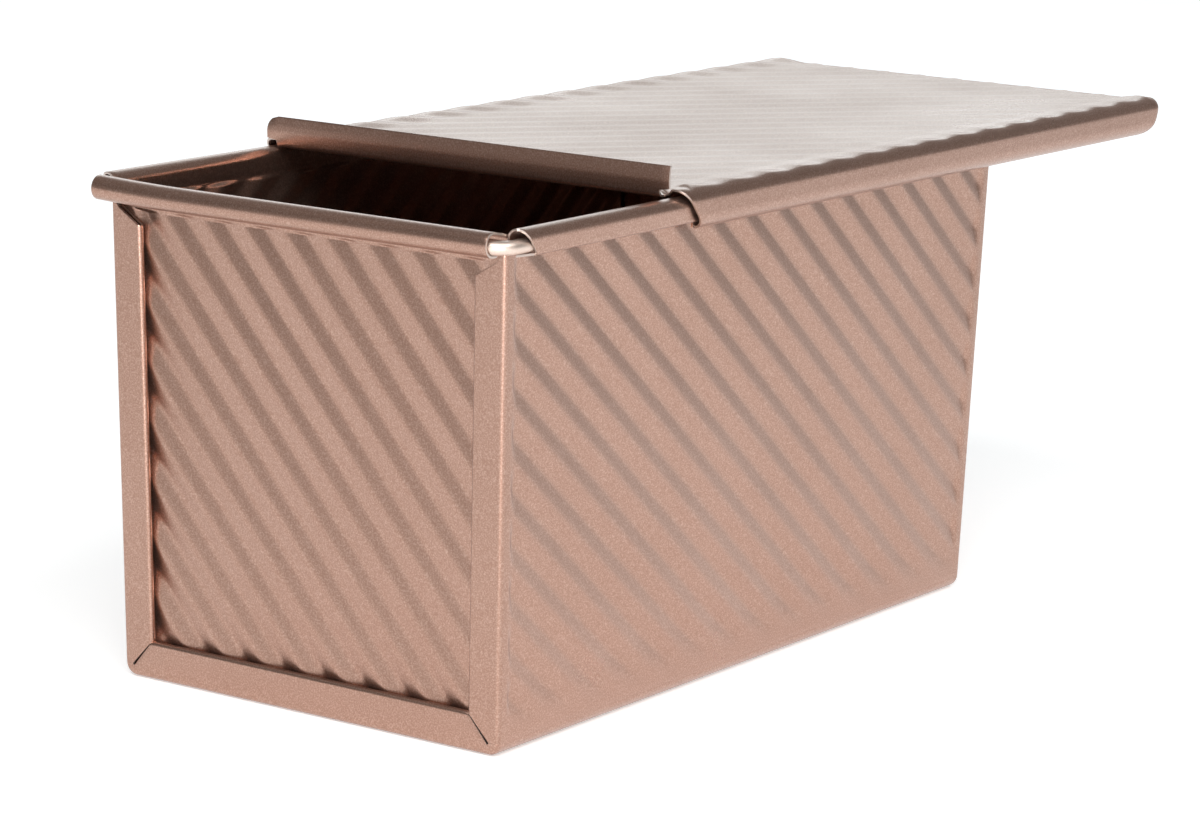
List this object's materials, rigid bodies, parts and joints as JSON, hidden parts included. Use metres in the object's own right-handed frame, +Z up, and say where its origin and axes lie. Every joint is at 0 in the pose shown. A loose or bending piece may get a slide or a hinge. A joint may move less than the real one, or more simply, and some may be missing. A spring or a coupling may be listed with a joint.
{
  "type": "pullman loaf pan",
  "caption": "Deep rectangular loaf pan of folded corrugated sheet with wired rolled rims and a flat lid that slides along them.",
  "frame": {"origin": "middle of the pan's base, on the surface that the pan stands on", "axes": "+Z up out of the pan's mouth; +X along the length, the way the lid slides open; the lid's upturned lip is at the -X end"},
  "size_m": [0.2774, 0.1146, 0.1173],
  "materials": {
    "coated_sheet": "satin",
    "coated_wire": "satin"
  },
  "bodies": {
    "pan": {"pan_body": "coated_sheet", "front_end_panel": "coated_sheet", "rear_end_panel": "coated_sheet", "rim_wire": "coated_wire"},
    "lid": {"lid": "coated_sheet"}
  },
  "joints": [
    {"name": "lid_slide", "type": "slide", "parent": "pan", "child": "lid", "axis": [1, 0, 0], "range_m": [-0.065, 0.15]}
  ]
}
